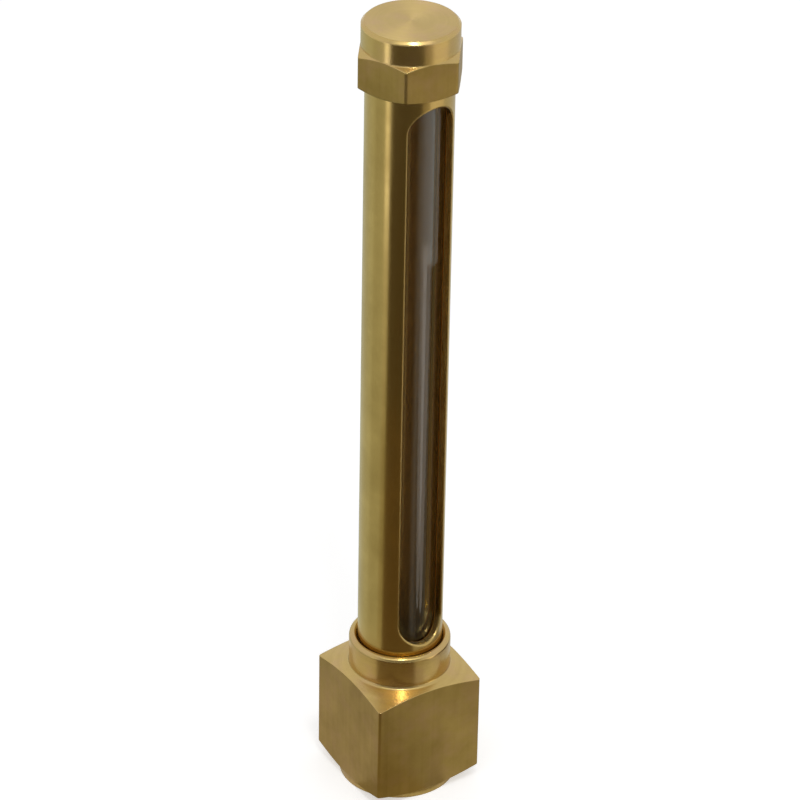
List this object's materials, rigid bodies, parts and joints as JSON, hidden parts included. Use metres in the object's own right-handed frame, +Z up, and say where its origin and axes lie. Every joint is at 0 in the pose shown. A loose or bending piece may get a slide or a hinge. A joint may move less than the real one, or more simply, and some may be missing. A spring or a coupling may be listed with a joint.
{
  "type": "sight glass",
  "caption": "Brass column sight glass: square elbow body with a side pipe port, slotted tube guarding a glass tube, and a hexagon screw cap.",
  "frame": {"origin": "centre of the round foot's underside, on the axis of the glass", "axes": "+Z up along the glass, towards the cap; the window faces -Y and the pipe port opens towards +Y; +X completes the right-handed frame"},
  "size_m": [0.0222, 0.0222, 0.1576],
  "materials": {
    "body_brass": "satin drawn bar with bright turned ends",
    "shield_brass": "polished drawn tube",
    "cap_brass": "bright turned, satin hexagon flats",
    "washer_brass": "stamped, deburred",
    "filter_bronze": "sintered, matt",
    "glass": "clear drawn tube, fire-polished rims",
    "gasket_rubber": "matt black nitrile rubber"
  },
  "bodies": {
    "gauge": {"elbow_body": "body_brass", "window_shield": "shield_brass", "glass_tube": "glass", "lower_gasket": "gasket_rubber", "upper_gasket": "gasket_rubber"},
    "washer": {"slip_washer": "washer_brass"},
    "screw_cap": {"cap": "cap_brass", "vent_filter": "filter_bronze"}
  },
  "joints": [
    {"name": "cap_lift", "type": "slide", "parent": "gauge", "child": "washer", "axis": [0, 0, 1], "range_m": [0, 0.00612]},
    {"name": "cap_turn", "type": "hinge", "parent": "washer", "child": "screw_cap", "pos_m": [0, 0, 0.15], "axis": [0, 0, 1], "range_deg": [0, 2340]}
  ],
  "couplings": [
    {"joint": "cap_lift", "follows": "cap_turn", "m_per_rad": 0.00014972}
  ]
}
